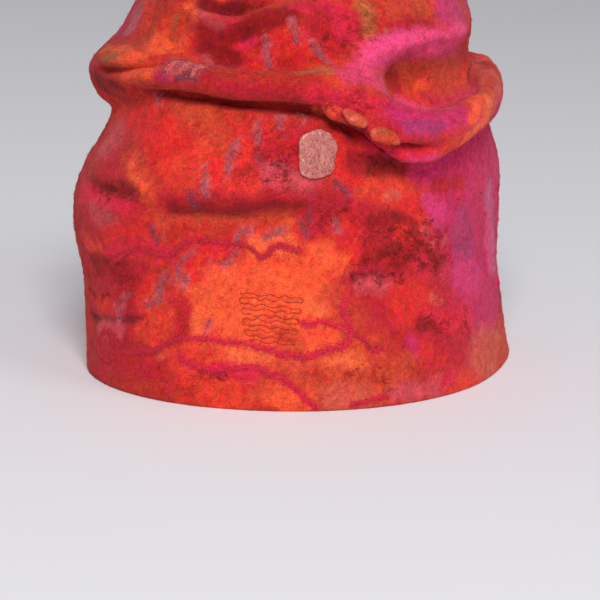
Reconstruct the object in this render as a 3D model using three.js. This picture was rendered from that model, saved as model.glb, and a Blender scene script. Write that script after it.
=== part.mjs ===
// A tall wet-felted wool hat, standing on its rim: a side wall, a rolled cowl fold round it, a crumpled crown.
// Millimetres, +Z up. The rim's lower edge lies in z = 0, the wearer faces -Y and the wearer's left is +X.
// An azimuth of 0 degrees is the front, and 90 degrees is the wearer's left.
import * as THREE from "three";

// Driving dimensions.
const HEAD_LENGTH = 208; // outside of the rim, front to back
const HEAD_WIDTH = 166; // outside of the rim, side to side
const FELT = 2.6; // wall thickness
const TOP_HEIGHT = 206; // highest ring of the crown

// Mesh density of the wall.
const COLUMNS = 66;
const STEPS_PER_SPAN = 2;

// In the three tables a row is the hat's profile at one azimuth, and each named point of it is a pair:
// how far it lies outside the rim's oval, and its height above the rim.

// Side wall: the rim, the band above it, the long soft crease, the bulge above that and its shoulder.
const WALL_SECTIONS = [
  { at: -40, rim: [-1, 0], band: [3.5, 30], crease: [4.5, 44], bulge: [10.5, 70], shoulder: [6, 92] },
  { at: -8, rim: [3.5, 0], band: [4, 30], crease: [4.5, 47], bulge: [11, 73], shoulder: [6.5, 94] },
  { at: 18, rim: [2, 0], band: [2.5, 30], crease: [1, 66], bulge: [8, 88], shoulder: [5, 108] },
  { at: 40, rim: [0, 0], band: [1.5, 30], crease: [-2.5, 78], bulge: [5, 100], shoulder: [2, 118] },
  { at: 62, rim: [0, 0], band: [0.5, 30], crease: [-3, 78], bulge: [1.5, 99], shoulder: [-1.5, 116] },
  { at: 88, rim: [0, 0], band: [-2, 30], crease: [-6, 59], bulge: [-5, 80], shoulder: [-8, 99] },
  { at: 115, rim: [-1, 0], band: [-5, 30], crease: [-9, 54], bulge: [-9, 78], shoulder: [-11, 100] },
  { at: 145, rim: [-3, 0], band: [-8, 30], crease: [-10.5, 50], bulge: [-12, 75], shoulder: [-13.5, 99] },
  { at: 170, rim: [1.5, 0], band: [-6.5, 30], crease: [-10, 50], bulge: [-10, 75], shoulder: [-11, 99] },
  { at: 200, rim: [1, 0], band: [-4, 30], crease: [-8, 54], bulge: [-6, 78], shoulder: [-8, 100] },
  { at: 240, rim: [0, 0], band: [-1, 30], crease: [-3, 60], bulge: [2, 80], shoulder: [-1, 102] },
  { at: 285, rim: [0, 0], band: [2, 30], crease: [1.5, 52], bulge: [8, 76], shoulder: [4, 97] },
];

// Rolled cowl: the neck where the wall turns out under it, its hanging lip, its face and its upper edge.
const COWL_SECTIONS = [
  { at: -25, neck: [-8, 117], lip: [-1, 121], face: [5, 136], edge: [-2, 145] },
  { at: 4, neck: [-6, 127], lip: [-2, 131], face: [5, 143], edge: [1, 150] },
  { at: 20, neck: [-6, 138.5], lip: [0.5, 137], face: [4.5, 144], edge: [0, 150] },
  { at: 36, neck: [-7, 138], lip: [0.5, 135], face: [4.5, 141], edge: [0, 148] },
  { at: 51, neck: [-8, 138], lip: [0.5, 135], face: [5, 142], edge: [0, 149] },
  { at: 62, neck: [-9, 134], lip: [1, 130], face: [6, 138], edge: [1, 147] },
  { at: 75, neck: [-10, 121], lip: [1, 116], face: [7, 124], edge: [2, 138] },
  { at: 88, neck: [-13, 116], lip: [1, 110], face: [7, 120], edge: [0, 133] },
  { at: 100, neck: [-14, 117], lip: [0, 111], face: [5, 119], edge: [0, 131] },
  { at: 115, neck: [-16, 119], lip: [-5, 115], face: [0, 123], edge: [-4, 134] },
  { at: 135, neck: [-18, 117], lip: [-11.5, 118], face: [-8, 127], edge: [-12, 138] },
  { at: 155, neck: [-19, 114], lip: [-15, 118], face: [-12.5, 129], edge: [-17, 139] },
  { at: 195, neck: [-15, 119], lip: [-9, 120], face: [-4, 130], edge: [-8, 140] },
  { at: 240, neck: [-9, 126], lip: [-1.5, 124], face: [3, 133], edge: [-2, 142] },
  { at: 290, neck: [-6, 127], lip: [-1, 125], face: [5, 136], edge: [-1, 145] },
];

// Crown: the hollow behind the cowl, the crown's foot, the ridge above it and the pit behind the ridge.
const CROWN_SECTIONS = [
  { at: -25, hollow: [-8, 152], foot: [-11.5, 157], ridge: [-17, 168], pit: [-23, 180] },
  { at: 8, hollow: [-7, 153], foot: [-12, 158], ridge: [-17, 173], pit: [-24, 178] },
  { at: 28, hollow: [-9, 147], foot: [-13, 151], ridge: [-15, 166], pit: [-28, 165] },
  { at: 50, hollow: [-9, 147], foot: [-13, 151], ridge: [-16, 174], pit: [-27, 176] },
  { at: 66, hollow: [-5, 149], foot: [-8.5, 152], ridge: [-12, 161], pit: [-22, 178] },
  { at: 76, hollow: [-5, 142], foot: [-9, 147], ridge: [-10.5, 155], pit: [-21, 175] },
  { at: 84, hollow: [-11, 132], foot: [-20, 140], ridge: [-11, 157], pit: [-20, 176] },
  { at: 94, hollow: [-17, 127], foot: [-27, 139], ridge: [-14, 160], pit: [-22, 178] },
  { at: 115, hollow: [-18, 128], foot: [-27, 141], ridge: [-18, 161], pit: [-25, 178] },
  { at: 150, hollow: [-26, 137], foot: [-31, 146], ridge: [-29, 159], pit: [-34, 173] },
  { at: 195, hollow: [-20, 136], foot: [-26, 147], ridge: [-22, 160], pit: [-29, 174] },
  { at: 240, hollow: [-14, 139], foot: [-20, 150], ridge: [-17, 164], pit: [-25, 177] },
  { at: 290, hollow: [-11, 144], foot: [-16, 153], ridge: [-16, 167], pit: [-24, 178] },
];

// Closed top: each ring's share of the oval, its height below TOP_HEIGHT, and how deep its radial puckers are.
const TOP_RINGS = [
  { share: 0.66, drop: 16, pucker: 2.5 },
  { share: 0.5, drop: 4, pucker: 3.5 },
  { share: 0.3, drop: 1, pucker: 2.5 },
  { share: 0.12, drop: 5, pucker: 1 },
];
const TOP_PUCKERS = 5;
const TOP_CENTRE_DROP = 8;

// Pieces felted on to the body, placed by azimuth and height.
const ADD_ON_GAP = 0.5; // clear of the body
const PATCH = { at: 56.6, z: 114, width: 16.5, height: 20.6, middle: 1.1, edge: 0.5, ragged: 0.03 };
const NUBS = [
  { name: "nub_upper", at: 66, z: 132.2, length: 12.5, width: 3.8, thickness: 2.6, tilt: 27 },
  { name: "nub_lower", at: 73.9, z: 126.5, length: 14.5, width: 4.9, thickness: 2.8, tilt: 23 },
];

// Places of some of the profile's points along it, counted from the rim.
const RIM_POINT = 0;
const NECK_POINT = 5;
const LIP_POINT = 6;
const FACE_POINT = 7;

const feltRed = new THREE.MeshStandardMaterial({ color: 0xc8262f, roughness: 0.95, metalness: 0 });
const palePink = new THREE.MeshStandardMaterial({ color: 0xd98a84, roughness: 0.95, metalness: 0 });
const nubOrange = new THREE.MeshStandardMaterial({ color: 0xd9603c, roughness: 0.9, metalness: 0 });

// A table as a smooth closed curve: returns a function that gives its points in order at any azimuth.
function roundTable(rows) {
  const names = Object.keys(rows[0]).filter((name) => name !== "at");
  const first = rows[0].at;
  const closed = [...rows, { ...rows[0], at: first + 360 }];
  const values = closed.flatMap((row) => names.flatMap((name) => row[name]));
  const curve = new THREE.CubicInterpolant(
    closed.map((row) => row.at),
    values,
    names.length * 2,
  );
  curve.settings = { endingStart: THREE.WrapAroundEnding, endingEnd: THREE.WrapAroundEnding };
  return (azimuth) => {
    const found = curve.evaluate(first + THREE.MathUtils.euclideanModulo(azimuth - first, 360));
    return names.map((name, index) => ({ out: found[2 * index], z: found[2 * index + 1] }));
  };
}

const wallAt = roundTable(WALL_SECTIONS);
const cowlAt = roundTable(COWL_SECTIONS);
const crownAt = roundTable(CROWN_SECTIONS);

function ovalRadius(azimuth) {
  const angle = THREE.MathUtils.degToRad(azimuth);
  return 1 / Math.hypot(Math.sin(angle) / (HEAD_WIDTH / 2), Math.cos(angle) / (HEAD_LENGTH / 2));
}

// The outside of the felt at one azimuth, from the rim to the last ring of the top. Its x is the distance
// from the hat's axis.
function profileAt(azimuth) {
  const oval = ovalRadius(azimuth);
  const sides = [...wallAt(azimuth), ...cowlAt(azimuth), ...crownAt(azimuth)];
  const pucker = 0.5 - 0.5 * Math.cos(TOP_PUCKERS * THREE.MathUtils.degToRad(azimuth));
  const points = sides.map((point) => new THREE.Vector3(oval + point.out, 0, point.z));
  for (const ring of TOP_RINGS) {
    points.push(new THREE.Vector3(ring.share * oval, 0, TOP_HEIGHT - ring.drop - ring.pucker * pucker));
  }
  return new THREE.CatmullRomCurve3(points, false, "centripetal");
}

// A point of the outside, at a place counted in profile points.
function outsideAt(azimuth, place, profile = profileAt(azimuth)) {
  const angle = THREE.MathUtils.degToRad(azimuth);
  const found = profile.getPoint(place / (profile.points.length - 1));
  return new THREE.Vector3(found.x * Math.sin(angle), -found.x * Math.cos(angle), found.z);
}

// The outward direction there.
function outwardAt(azimuth, place) {
  const step = 0.02; // of the way between two profile points
  const turn = 1; // degree
  const along = outsideAt(azimuth, place + step).sub(outsideAt(azimuth, Math.max(place - step, 0)));
  const round = outsideAt(azimuth + turn, place).sub(outsideAt(azimuth - turn, place));
  return round.cross(along).normalize();
}

// The place between two profile points where the outside reaches a height.
function placeAtHeight(azimuth, z, below, above) {
  const profile = profileAt(azimuth);
  let low = below;
  let high = above;
  for (let halving = 0; halving < 30; halving++) {
    const middle = (low + high) / 2;
    if (outsideAt(azimuth, middle, profile).z < z) low = middle;
    else high = middle;
  }
  return (low + high) / 2;
}

// A closed mesh from a list of points and a list of triangles.
function closedMesh(name, points, triangles, material) {
  const geometry = new THREE.BufferGeometry().setFromPoints(points);
  geometry.setIndex(triangles.flat());
  geometry.computeVertexNormals();
  const mesh = new THREE.Mesh(geometry, material);
  mesh.name = name;
  return mesh;
}

// Two triangles for each face of a ring-by-ring grid, facing out when the rings go up outside.
function gridTriangles(start, rings, columns, inward) {
  const triangles = [];
  for (let ring = 0; ring < rings - 1; ring++) {
    for (let column = 0; column < columns; column++) {
      const a = start + ring * columns + column;
      const b = start + ring * columns + ((column + 1) % columns);
      const c = b + columns;
      const d = a + columns;
      triangles.push(...(inward ? [[a, c, b], [a, d, c]] : [[a, b, c], [a, c, d]]));
    }
  }
  return triangles;
}

// A fan of triangles from a ring to one point.
function fanTriangles(start, columns, centre, inward) {
  return Array.from({ length: columns }, (unused, column) => {
    const a = start + column;
    const b = start + ((column + 1) % columns);
    return inward ? [a, centre, b] : [a, b, centre];
  });
}

// The whole felt: an outside grid and an inside grid one wall thickness in, joined by a flat rim.
function feltBody() {
  const spans = profileAt(0).points.length - 1;
  const rings = spans * STEPS_PER_SPAN + 1;
  const outside = [];
  const inside = [];
  for (let ring = 0; ring < rings; ring++) {
    for (let column = 0; column < COLUMNS; column++) {
      const azimuth = (360 * column) / COLUMNS;
      const place = ring / STEPS_PER_SPAN;
      const point = outsideAt(azimuth, place);
      const outward = outwardAt(azimuth, place);
      if (ring === 0) outward.setZ(0).normalize();
      outside.push(point);
      inside.push(point.clone().addScaledVector(outward, -FELT));
    }
  }
  const top = new THREE.Vector3(0, 0, TOP_HEIGHT - TOP_CENTRE_DROP);
  const underTop = top.clone().setZ(top.z - FELT);
  const points = [...outside, top, ...inside, underTop];
  const insideStart = outside.length + 1;
  const lastRing = (rings - 1) * COLUMNS;
  const triangles = [
    ...gridTriangles(0, rings, COLUMNS, false),
    ...fanTriangles(lastRing, COLUMNS, outside.length, false),
    ...gridTriangles(insideStart, rings, COLUMNS, true),
    ...fanTriangles(insideStart + lastRing, COLUMNS, points.length - 1, true),
  ];
  for (let column = 0; column < COLUMNS; column++) {
    const next = (column + 1) % COLUMNS;
    triangles.push([column, insideStart + column, insideStart + next], [column, insideStart + next, next]);
  }
  return closedMesh("felt_body", points, triangles, feltRed);
}

// The oval pad of pale fibre, which follows the side wall.
function palePatch() {
  const spokes = 20;
  const rings = [1, 0.7, 0.35];
  const radius = ovalRadius(PATCH.at);
  const pointAt = (share, spoke, lift) => {
    const turn = (2 * Math.PI * spoke) / spokes;
    const wobble = 1 + PATCH.ragged * Math.sin(5 * turn) + PATCH.ragged * Math.sin(3 * turn + 1);
    const aside = (share * wobble * PATCH.width * Math.cos(turn)) / 2;
    const azimuth = PATCH.at + THREE.MathUtils.radToDeg(aside / radius);
    const z = PATCH.z + (share * wobble * PATCH.height * Math.sin(turn)) / 2;
    const place = placeAtHeight(azimuth, z, RIM_POINT, NECK_POINT);
    return outsideAt(azimuth, place).addScaledVector(outwardAt(azimuth, place), lift);
  };
  const layer = (thickness) => {
    const points = rings.flatMap((share) => {
      const lift = ADD_ON_GAP + thickness(share);
      return Array.from({ length: spokes }, (unused, spoke) => pointAt(share, spoke, lift));
    });
    points.push(pointAt(0, 0, ADD_ON_GAP + thickness(0)));
    return points;
  };
  const front = layer((share) => THREE.MathUtils.lerp(PATCH.middle, PATCH.edge, share * share));
  const back = layer(() => 0);
  const backStart = front.length;
  const innerRing = (rings.length - 1) * spokes;
  const triangles = [
    ...gridTriangles(0, rings.length, spokes, false),
    ...fanTriangles(innerRing, spokes, backStart - 1, false),
    ...gridTriangles(backStart, rings.length, spokes, true),
    ...fanTriangles(backStart + innerRing, spokes, 2 * backStart - 1, true),
  ];
  for (let spoke = 0; spoke < spokes; spoke++) {
    const next = (spoke + 1) % spokes;
    triangles.push([spoke, backStart + spoke, backStart + next], [spoke, backStart + next, next]);
  }
  return closedMesh("pale_patch", [...front, ...back], triangles, palePink);
}

// One small felt oval on the cowl, its long side slanting down towards the back.
function nub(section) {
  const place = placeAtHeight(section.at, section.z, LIP_POINT, FACE_POINT);
  const outward = outwardAt(section.at, place);
  const geometry = new THREE.SphereGeometry(0.5, 14, 8);
  geometry.scale(section.length, section.width, section.thickness);
  const mesh = new THREE.Mesh(geometry, nubOrange);
  mesh.name = section.name;
  const level = new THREE.Vector3(0, 0, 1).cross(outward).normalize();
  const long = level.applyAxisAngle(outward, -THREE.MathUtils.degToRad(section.tilt));
  const across = outward.clone().cross(long);
  mesh.quaternion.setFromRotationMatrix(new THREE.Matrix4().makeBasis(long, across, outward));
  mesh.position.copy(outsideAt(section.at, place));
  mesh.position.addScaledVector(outward, ADD_ON_GAP + section.thickness / 2);
  return mesh;
}

const group = new THREE.Group();
group.add(feltBody(), palePatch(), ...NUBS.map(nub));

// The origin is the middle of the hat's plan, at the rim.
const middle = new THREE.Box3().setFromObject(group, true).getCenter(new THREE.Vector3());
group.position.set(-middle.x, -middle.y, 0);

export default group;
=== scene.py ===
import math

import bpy
import numpy as np
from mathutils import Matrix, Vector, noise
from mathutils.bvhtree import BVHTree
from mathutils.kdtree import KDTree


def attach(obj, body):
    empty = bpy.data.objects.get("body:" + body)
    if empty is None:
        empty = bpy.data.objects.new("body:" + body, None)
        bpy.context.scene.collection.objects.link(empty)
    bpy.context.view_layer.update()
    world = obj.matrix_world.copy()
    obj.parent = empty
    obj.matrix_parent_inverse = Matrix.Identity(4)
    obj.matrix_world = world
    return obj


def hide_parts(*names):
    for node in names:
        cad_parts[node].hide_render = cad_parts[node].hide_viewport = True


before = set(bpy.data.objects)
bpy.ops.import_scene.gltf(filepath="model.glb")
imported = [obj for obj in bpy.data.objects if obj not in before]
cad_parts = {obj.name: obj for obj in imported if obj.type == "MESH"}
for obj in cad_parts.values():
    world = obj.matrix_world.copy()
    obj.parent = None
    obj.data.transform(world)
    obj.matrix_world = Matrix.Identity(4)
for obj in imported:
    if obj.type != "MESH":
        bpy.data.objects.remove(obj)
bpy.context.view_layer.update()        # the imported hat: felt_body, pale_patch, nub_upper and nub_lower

mm = 0.001
dice = np.random.default_rng(57)

# Camera: the photograph's view of the hat, 600 pixels square
photoView = {"azimuth": 56.0, "elevation": 14.5, "roll": 2.6, "distance": 1.15, "lens": 148.35,
             "sensor": 36.0, "pixels": 600, "aim": (-0.0029, 0.0014, 0.0273)}


def viewAxes():
    turn = math.radians(photoView["azimuth"])
    tilt = math.radians(photoView["elevation"])
    roll = math.radians(photoView["roll"])
    back = Vector((math.sin(turn) * math.cos(tilt), -math.cos(turn) * math.cos(tilt), math.sin(tilt)))
    level = Vector((math.cos(turn), math.sin(turn), 0))
    upright = back.cross(level)
    right = math.cos(roll) * level + math.sin(roll) * upright
    up = math.cos(roll) * upright - math.sin(roll) * level
    return right, up, back, Vector(photoView["aim"]) + back * photoView["distance"]


viewRight, viewUp, viewBack, eye = viewAxes()
focalPixels = photoView["lens"] / photoView["sensor"] * photoView["pixels"]
middlePixel = photoView["pixels"] / 2


def rayThrough(pixel):
    ray = viewRight * (pixel[0] - middlePixel) + viewUp * (middlePixel - pixel[1]) - viewBack * focalPixels
    return ray.normalized()


def pixelsOf(places):
    away = places - np.array(eye)
    depth = -(away @ np.array(viewBack))
    across = middlePixel + focalPixels * (away @ np.array(viewRight)) / depth
    down = middlePixel - focalPixels * (away @ np.array(viewUp)) / depth
    return np.stack([across, down], 1)


def makeCamera():
    bpy.ops.object.camera_add(location=eye)
    camera = bpy.context.object
    camera.name = "photoCamera"
    camera.data.sensor_width = photoView["sensor"]
    camera.data.lens = photoView["lens"]
    camera.data.clip_start = 0.05
    camera.data.clip_end = 30
    columns = [viewRight, viewUp, viewBack, eye]
    for column, axis in enumerate(columns):
        for row in range(3):
            camera.matrix_world[row][column] = axis[row]
    bpy.context.scene.camera = camera


# Floor and light
stageLook = {"floorRadius": 9.0, "floor": (0.78, 0.78, 0.81), "world": (0.86, 0.85, 0.89), "worldPower": 0.31,
             "keyPower": 112.0, "keySize": 1.3, "fillPower": 22.0, "fillSize": 1.6}


def softbox(name, place, size, power):
    bpy.ops.object.light_add(type="AREA", location=place)
    lamp = bpy.context.object
    lamp.name = name
    lamp.data.size = size
    lamp.data.energy = power
    lamp.rotation_euler = (Vector((0, 0, 0.09)) - Vector(place)).to_track_quat("-Z", "Y").to_euler()


def makeStage():
    bpy.ops.mesh.primitive_circle_add(vertices=96, radius=stageLook["floorRadius"], fill_type="NGON")
    floor = bpy.context.object
    floor.name = "floor"
    paper = bpy.data.materials.new("palePaper")
    paper.use_nodes = True
    shader = paper.node_tree.nodes["Principled BSDF"]
    shader.inputs["Base Color"].default_value = (*stageLook["floor"], 1)
    shader.inputs["Roughness"].default_value = 0.9
    floor.data.materials.append(paper)
    world = bpy.data.worlds.new("studio")
    world.use_nodes = True
    sky = world.node_tree.nodes["Background"]
    sky.inputs["Color"].default_value = (*stageLook["world"], 1)
    sky.inputs["Strength"].default_value = stageLook["worldPower"]
    bpy.context.scene.world = world
    level = Vector((viewRight.x, viewRight.y, 0)).normalized()
    toward = Vector((viewBack.x, viewBack.y, 0)).normalized()
    softbox("key", toward * 2.75 + level * 0.1 + Vector((0, 0, 2.35)), stageLook["keySize"], stageLook["keyPower"])
    softbox("fill", toward * 1.6 + level * 2.6 + Vector((0, 0, 1.6)), stageLook["fillSize"], stageLook["fillPower"])
    bpy.context.scene.view_settings.view_transform = "Standard"


# Wool dyes, as seen in daylight, each from 0 to 255. Blood, maroon and crimson also serve as painted shade in creases
# and tucks, and petal and dusk as painted highlight and painted sheen
dyesAndShades = {
    "scarlet": (216, 38, 34), "tomato": (220, 58, 40), "orange": (244, 88, 50), "tangerine": (240, 102, 58),
    "crimson": (184, 28, 42), "cherry": (216, 34, 64), "magenta": (198, 36, 94), "fuchsia": (208, 52, 110),
    "pink": (226, 66, 108), "rose": (200, 72, 82), "blood": (142, 16, 22), "maroon": (106, 14, 24),
    "plum": (150, 58, 76), "violet": (170, 50, 100), "mauve": (188, 92, 104), "ochre": (190, 98, 58),
    "olive": (156, 92, 56), "rust": (200, 66, 40), "brick": (186, 44, 34), "coral": (208, 86, 68),
    "pale": (232, 164, 154), "blush": (234, 128, 114), "yarn": (230, 34, 72), "duskSheen": (196, 88, 130), "petalHighlight": (252, 76, 134),
}


def linearTone(name):
    share = np.array(dyesAndShades[name]) / 255
    return np.where(share <= 0.04045, share / 12.92, ((share + 0.055) / 1.055) ** 2.4)


# Small tools for meshes
def alone(piece):
    bpy.ops.object.select_all(action="DESELECT")
    piece.select_set(True)
    bpy.context.view_layer.objects.active = piece


def placesOf(mesh):
    flat = np.empty(len(mesh.vertices) * 3)
    mesh.vertices.foreach_get("co", flat)
    return flat.reshape(-1, 3)


def setPlaces(mesh, places):
    mesh.vertices.foreach_set("co", places.ravel())
    mesh.update()


def normalsOf(mesh):
    flat = np.empty(len(mesh.vertices) * 3)
    mesh.vertices.foreach_get("normal", flat)
    return flat.reshape(-1, 3)


def edgesOf(mesh):
    flat = np.empty(len(mesh.edges) * 2, int)
    mesh.edges.foreach_get("vertices", flat)
    return flat.reshape(-1, 2)


def relaxed(values, edges, rounds, share=0.5):
    count = np.bincount(edges.ravel(), minlength=len(values)).reshape(-1, 1)
    for _ in range(rounds):
        total = np.empty_like(values)
        for axis in range(values.shape[1]):
            one = np.bincount(edges[:, 0], values[edges[:, 1], axis], len(values))
            two = np.bincount(edges[:, 1], values[edges[:, 0], axis], len(values))
            total[:, axis] = one + two
        values = values + share * (total / np.maximum(count, 1) - values)
    return values


def lumps(places, size, seed=0.0):
    shift = Vector((seed * 7.3, seed * 3.1, seed * 5.7))
    return np.array([noise.noise(Vector(place) / size + shift) for place in places])


def drift(places, size, seed=0.0):
    shift = Vector((seed * 7.3, seed * 3.1, seed * 5.7))
    return np.array([noise.noise_vector(Vector(place) / size + shift) for place in places])


def fade(value):
    value = np.clip(value, 0, 1)
    return value * value * (3 - 2 * value)


def copyOfNode(node, name):
    piece = bpy.data.objects.new(name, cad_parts[node].data.copy())
    bpy.context.scene.collection.objects.link(piece)
    piece.data.materials.clear()
    alone(piece)
    bpy.ops.object.mode_set(mode="EDIT")
    bpy.ops.mesh.select_all(action="SELECT")
    bpy.ops.mesh.remove_doubles(threshold=0.00001)
    bpy.ops.mesh.customdata_custom_splitnormals_clear()
    bpy.ops.mesh.tris_convert_to_quads(face_threshold=3.1, shape_threshold=3.1)
    bpy.ops.object.mode_set(mode="OBJECT")
    return piece


def rounded(piece, levels):
    alone(piece)
    modifier = piece.modifiers.new("round", "SUBSURF")
    modifier.levels = levels
    modifier.render_levels = levels
    bpy.ops.object.modifier_apply(modifier=modifier.name)


# The felt's two faces: the outside is fine enough to sculpt, and the inside follows it
feltSettings = {"cuts": 2, "relaxing": 6, "bigLumps": 0.75, "lumps": 0.4, "pebbles": 0.2, "rimWave": 0.5}


def splitFelt():
    felt = copyOfNode("felt_body", "felt_body_wool")
    rimFace = [all(felt.data.vertices[v].co.z < 0.1 * mm for v in face.vertices) for face in felt.data.polygons]
    bpy.ops.object.mode_set(mode="EDIT")
    bpy.ops.mesh.select_all(action="DESELECT")
    bpy.ops.mesh.select_mode(type="FACE")
    bpy.ops.object.mode_set(mode="OBJECT")
    felt.data.polygons.foreach_set("select", rimFace)
    bpy.ops.object.mode_set(mode="EDIT")
    bpy.ops.mesh.delete(type="FACE")
    bpy.ops.mesh.select_all(action="SELECT")
    bpy.ops.mesh.separate(type="LOOSE")
    bpy.ops.object.mode_set(mode="OBJECT")
    shells = sorted(bpy.context.selected_objects, key=lambda shell: shell.dimensions.y)
    inside, outside = shells[0], shells[-1]
    rounded(inside, 1)
    rounded(outside, 1)
    alone(outside)
    bpy.ops.object.mode_set(mode="EDIT")
    bpy.ops.mesh.select_all(action="SELECT")
    bpy.ops.mesh.subdivide(number_cuts=feltSettings["cuts"], smoothness=0)
    bpy.ops.object.mode_set(mode="OBJECT")
    places = placesOf(outside.data)
    eased = relaxed(places, edgesOf(outside.data), feltSettings["relaxing"])
    atRim = places[:, 2] < 0.1 * mm
    eased[atRim] = places[atRim]
    setPlaces(outside.data, eased)
    return outside, inside


# Folds pressed into the felt or raised from it. Places are pixels of the photograph, or, for the sides that
# it doesn't show, an azimuth in degrees and a height in mm. Depth and width are in mm, and below 0 is inwards.
photoFolds = [
    {"name": "tuck between the cowl's two layers", "depth": -7.5, "width": 2.2,
     "via": [(334, 121), (348, 128), (366, 134), (386, 142), (404, 146), (424, 146), (442, 142)]},
    {"name": "edge of the cowl's upper layer", "depth": 2.6, "rise": -1.6, "width": 2.4,
     "via": [(318, 108), (332, 112), (348, 117), (364, 124), (382, 132), (400, 137), (418, 137)]},
    {"name": "edge of the cowl's lower layer", "depth": 4.2, "width": 3.0,
     "via": [(350, 134), (364, 142), (385, 150), (410, 157), (436, 156)]},
    {"name": "split between the front lobes", "depth": -5.5, "width": 1.8,
     "via": [(98, 67), (112, 71), (128, 70), (146, 65), (164, 62)]},
    {"name": "lower lobe", "depth": 2.2, "width": 3.2, "via": [(118, 79), (136, 75), (158, 76)]},
    {"name": "tuck under the roll", "depth": -4.6, "width": 2.3,
     "via": [(134, 88), (172, 92), (206, 98), (240, 103), (280, 107), (312, 110), (336, 118)]},
    {"name": "round patch of scarlet", "depth": 1.5, "width": 9.0, "via": [(157, 142)]},
    {"name": "crease under the round patch", "depth": -0.9, "width": 1.4, "via": [(132, 150), (144, 158), (160, 159)]},
    {"name": "upper lobe", "depth": 2.2, "width": 6.0, "via": [(100, 60), (120, 60), (142, 58)]},
    {"name": "curled dimple", "depth": -2.2, "width": 2.6, "via": [(178, 73), (188, 76)]},
    {"name": "roll's upper edge", "depth": -2.0, "width": 2.6,
     "via": [(196, 70), (220, 71), (250, 71), (280, 69), (308, 64), (330, 58)]},
    {"name": "upright crown fold", "depth": -4.0, "width": 3.2, "via": [(172, 50), (174, 36), (180, 22), (190, 10)]},
    {"name": "upright crown ridge", "depth": 2.2, "width": 3.6, "via": [(156, 48), (158, 32), (164, 14)]},
    {"name": "swag", "depth": 3.2, "width": 3.2,
     "via": [(178, 4), (192, 12), (210, 19), (236, 23), (258, 18), (280, 9), (300, 2)]},
    {"name": "tuck over the swag", "depth": -2.6, "width": 2.4, "via": [(196, 2), (214, 9), (236, 13), (256, 9), (272, 2)]},
    {"name": "dip under the swag", "depth": -2.8, "width": 5.5, "via": [(208, 36), (236, 42), (266, 34), (292, 20)]},
    {"name": "pink ridge", "depth": 2.4, "width": 3.4,
     "via": [(342, 78), (354, 66), (370, 54), (392, 46), (420, 40), (450, 34), (470, 26)]},
    {"name": "dip beside the pink ridge", "depth": -1.6, "width": 4.0, "via": [(330, 52), (344, 40), (362, 30)]},
    {"name": "hollow's near wall", "depth": -2.0, "width": 4.5, "via": [(386, 72), (394, 88), (408, 98)]},
    {"name": "edge of the crown over the hollow", "depth": 2.2, "width": 1.5,
     "via": [(471, 34), (467, 52), (464, 70), (466, 92)]},
    {"name": "tuck behind that edge", "depth": -3.4, "width": 2.0, "via": [(478, 48), (474, 62), (472, 78), (474, 94)]},
    {"name": "hanging lip of the cowl", "rise": -3.2, "width": 6.5,
     "via": [(356, 142), (380, 149), (404, 154), (430, 152), (456, 142)]},
    {"name": "dark dent", "depth": -2.0, "width": 1.5, "via": [(346, 279), (364, 277), (384, 277), (402, 280)]},
    {"name": "wrinkle over the dent", "depth": -1.3, "width": 1.6, "via": [(372, 262), (392, 256), (410, 244)]},
    {"name": "wrinkle", "depth": -1.2, "width": 1.6, "via": [(362, 238), (384, 232), (404, 236)]},
    {"name": "front crease", "depth": -2.8, "width": 3.2, "via": [(86, 194), (102, 190), (120, 194), (136, 202)]},
    {"name": "ridge under the front crease", "depth": 1.4, "width": 3.4, "via": [(88, 206), (112, 209), (142, 214)]},
    {"name": "brow above the long crease", "depth": 1.4, "width": 9.0, "via": [(150, 186), (230, 192), (310, 184)]},
    {"name": "long crease", "depth": -3.0, "width": 4.6,
     "via": [(150, 214), (190, 220), (240, 222), (290, 219), (340, 213)]},
    {"name": "crease over the lower front", "depth": -1.5, "width": 2.2, "via": [(90, 316), (112, 322), (140, 320)]},
    {"name": "pressed line", "depth": -0.8, "width": 1.1, "via": [(176, 376), (200, 380), (226, 383)]},
    {"name": "upright fold at the side", "depth": -1.1, "width": 2.2, "via": [(480, 190), (484, 240), (490, 300)]},
    {"name": "second upright fold", "depth": 0.9, "width": 2.2, "via": [(489, 180), (492, 240), (498, 300)]},
    {"name": "tuft at the front edge", "depth": 1.5, "width": 1.6, "via": [(88, 292), (90, 294)]},
]
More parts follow.
